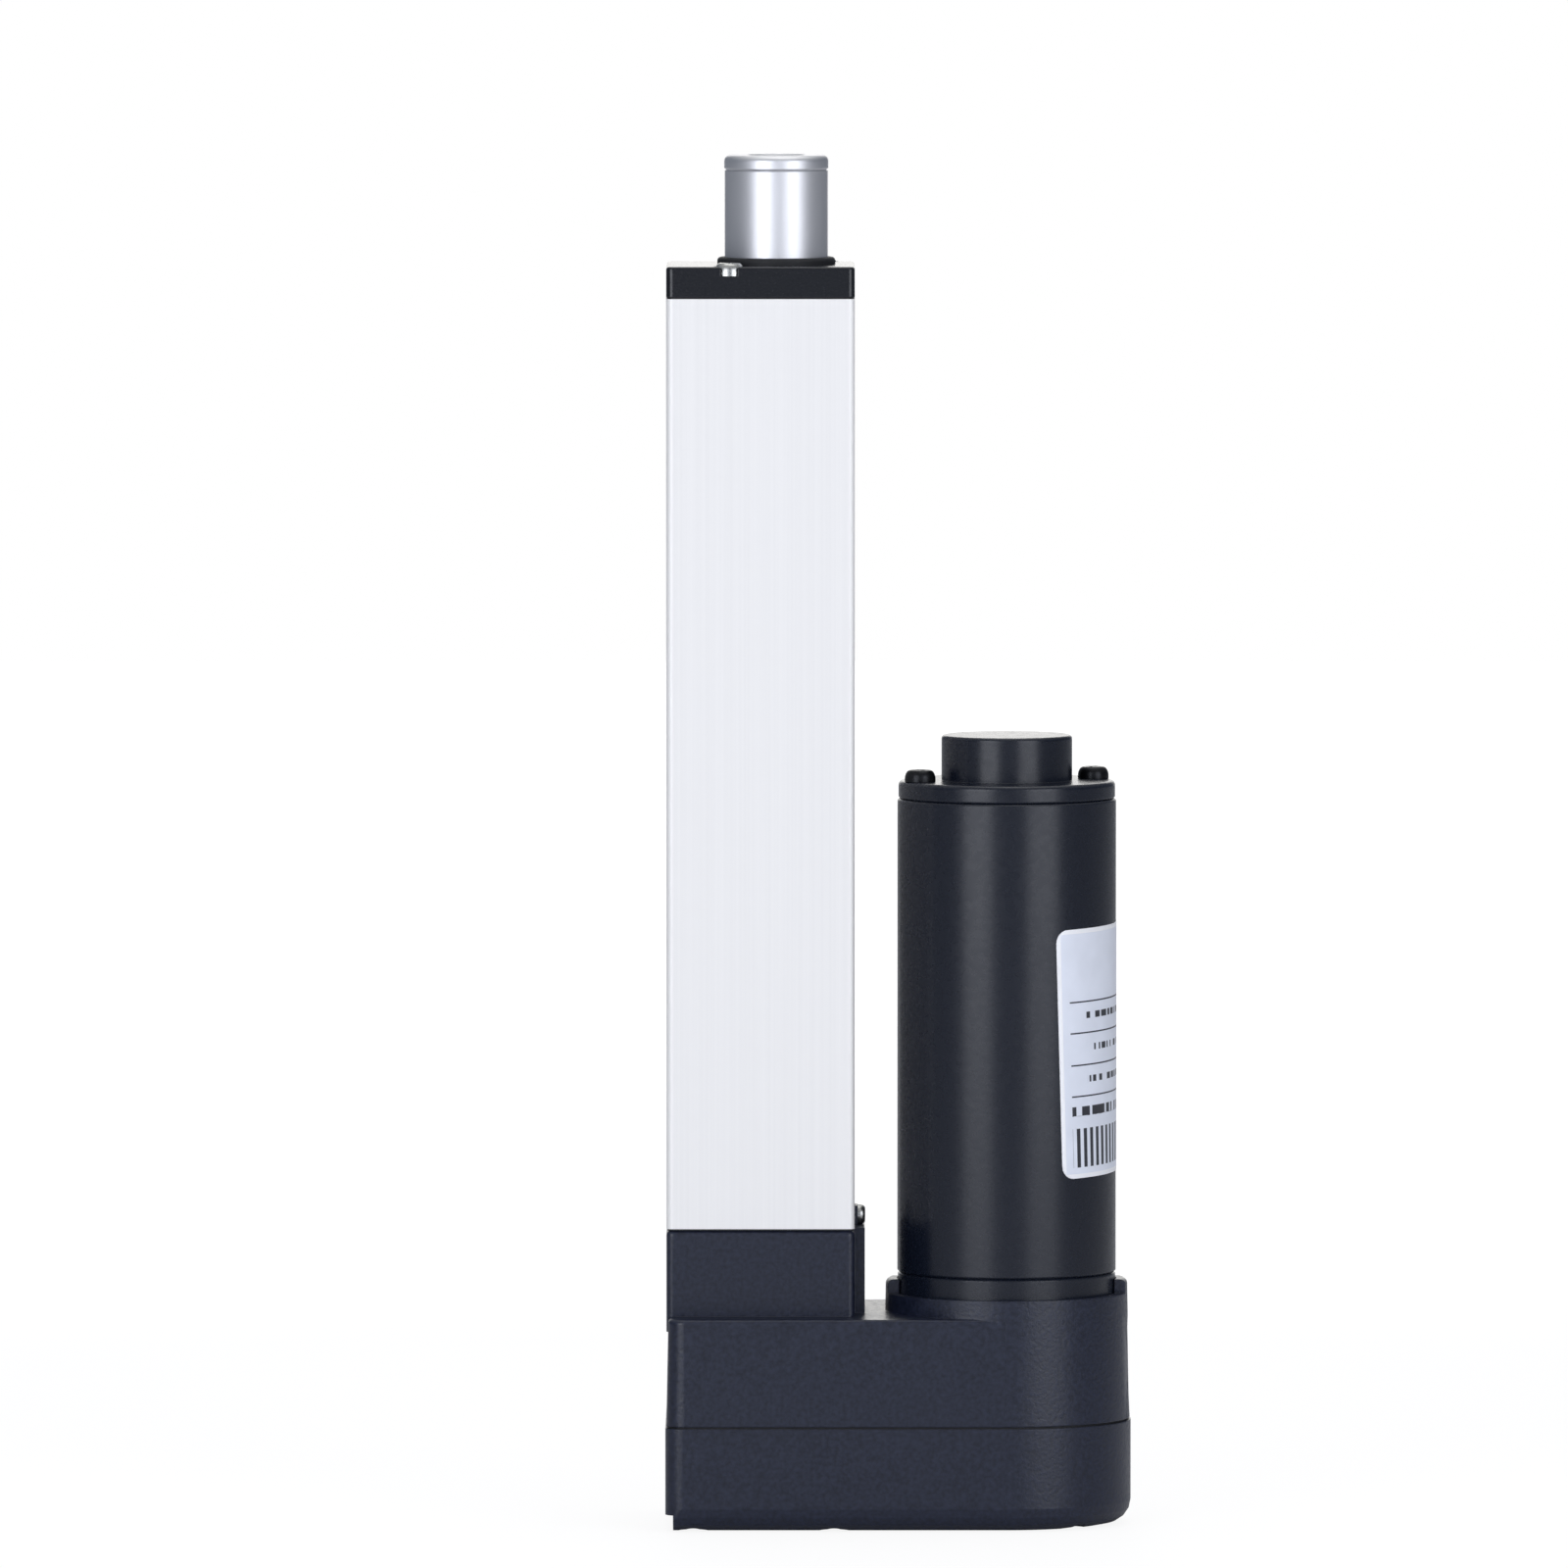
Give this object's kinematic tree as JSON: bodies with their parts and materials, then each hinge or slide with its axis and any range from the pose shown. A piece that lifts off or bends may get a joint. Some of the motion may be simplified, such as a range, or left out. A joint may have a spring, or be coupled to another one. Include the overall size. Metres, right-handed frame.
{
  "type": "electric linear actuator",
  "caption": "Electric linear actuator: round rod slides out of a square tube, driven over gears by a motor that stands beside the tube on one housing.",
  "frame": {"origin": "mouth of the rear mounting thread, on the lead screw's axis at the housing's bottom face", "axes": "+Z along the rod's way out, +X from the lead screw to the motor, +Y to the cable gland's side"},
  "size_m": [0.0905, 0.0553, 0.266],
  "materials": {
    "powder_coated_housing": "black powder coat, fine texture",
    "painted_motor": "satin black paint",
    "anodised_tube": "silver anodised, fine lengthwise lines",
    "black_plastic": "moulded, satin",
    "polished_rod": "ground and polished",
    "zinc_screws": "zinc plated",
    "black_screws": "black oxide",
    "steel": "machined",
    "bearing_steel": "ground",
    "gear_steel": "sintered",
    "bronze": "sintered",
    "acetal": "machined, natural",
    "seal_rubber": "moulded",
    "circuit_board": "green solder mask",
    "switch_plastic": "moulded",
    "magnet_ferrite": "sintered",
    "laminations": "stacked sheet",
    "copper": "enamelled wire and drawn bars",
    "phenolic": "pressed board",
    "carbon": "pressed"
  },
  "bodies": {
    "housing": {"lower_cover": "powder_coated_housing", "upper_housing": "powder_coated_housing", "housing_gasket": "seal_rubber", "cover_screws": "black_screws", "rear_mount_insert": "steel", "cable_gland": "black_plastic", "lower_bearing_outer_ring": "bearing_steel", "upper_bearing_outer_ring": "bearing_steel", "upper_bearing_circlip": "steel", "idler_pin": "steel", "idler_washers": "steel", "outer_tube": "anodised_tube", "tube_gasket": "seal_rubber", "tube_screws": "zinc_screws", "tube_lock_screw": "black_screws", "head_cap": "black_plastic", "cap_gasket": "seal_rubber", "head_cap_screws": "zinc_screws", "guide_bush": "acetal", "rod_seal": "seal_rubber", "rod_wiper": "seal_rubber", "limit_switch_board": "circuit_board", "limit_switches": "switch_plastic", "motor_gasket": "seal_rubber", "motor_end_bell": "painted_motor", "motor_bushes": "bronze", "motor_can": "painted_motor", "motor_end_cap": "painted_motor", "motor_magnets": "magnet_ferrite", "motor_through_bolts": "black_screws", "motor_mount_screws": "zinc_screws", "brush_holder": "phenolic", "brushes": "carbon", "brush_springs": "steel"},
    "rotor": {"motor_shaft": "steel", "motor_pinion": "gear_steel", "armature_core": "laminations", "armature_windings": "copper", "commutator": "copper"},
    "idler": {"idler_wheel": "gear_steel", "idler_pinion": "gear_steel", "idler_bush": "bronze"},
    "screw": {"lead_screw": "steel", "screw_wheel": "gear_steel", "wheel_key": "steel", "screw_circlips": "steel", "screw_tip_guide": "acetal", "lower_bearing_inner_ring": "bearing_steel", "upper_bearing_inner_ring": "bearing_steel"},
    "lower_ball_set": {"lower_bearing_balls": "bearing_steel"},
    "upper_ball_set": {"upper_bearing_balls": "bearing_steel"},
    "rod": {"drive_nut": "acetal", "nut_pins": "steel", "inner_rod": "polished_rod", "rod_end_plug": "polished_rod", "switch_striker": "steel"}
  },
  "joints": [
    {"name": "motor_spin", "type": "hinge", "parent": "housing", "child": "rotor", "pos_m": [0.0448, 0, 0.04], "axis": [0, 0, -1], "range_deg": [0, 162000]},
    {"name": "idler_spin", "type": "hinge", "parent": "housing", "child": "idler", "pos_m": [0.0224, 0, 0.04], "axis": [0, 0, -1], "range_deg": [-54000.5, 0.5]},
    {"name": "screw_spin", "type": "hinge", "parent": "housing", "child": "screw", "pos_m": [0, 0, 0.04], "axis": [0, 0, -1], "range_deg": [-0.5, 18000.5]},
    {"name": "lower_balls_spin", "type": "hinge", "parent": "housing", "child": "lower_ball_set", "pos_m": [0, 0, 0.04], "axis": [0, 0, -1], "range_deg": [-0.5, 6624.5]},
    {"name": "upper_balls_spin", "type": "hinge", "parent": "housing", "child": "upper_ball_set", "pos_m": [0, 0, 0.04], "axis": [0, 0, -1], "range_deg": [-0.5, 6624.5]},
    {"name": "rod_slide", "type": "slide", "parent": "housing", "child": "rod", "axis": [0, 0, 1], "range_m": [0, 0.15]}
  ],
  "couplings": [
    {"joint": "idler_spin", "follows": "motor_spin", "ratio": -0.33333},
    {"joint": "screw_spin", "follows": "motor_spin", "ratio": 0.11111},
    {"joint": "lower_balls_spin", "follows": "motor_spin", "ratio": 0.040889},
    {"joint": "upper_balls_spin", "follows": "motor_spin", "ratio": 0.040889},
    {"joint": "rod_slide", "follows": "motor_spin", "m_per_rad": 0.000053051}
  ]
}
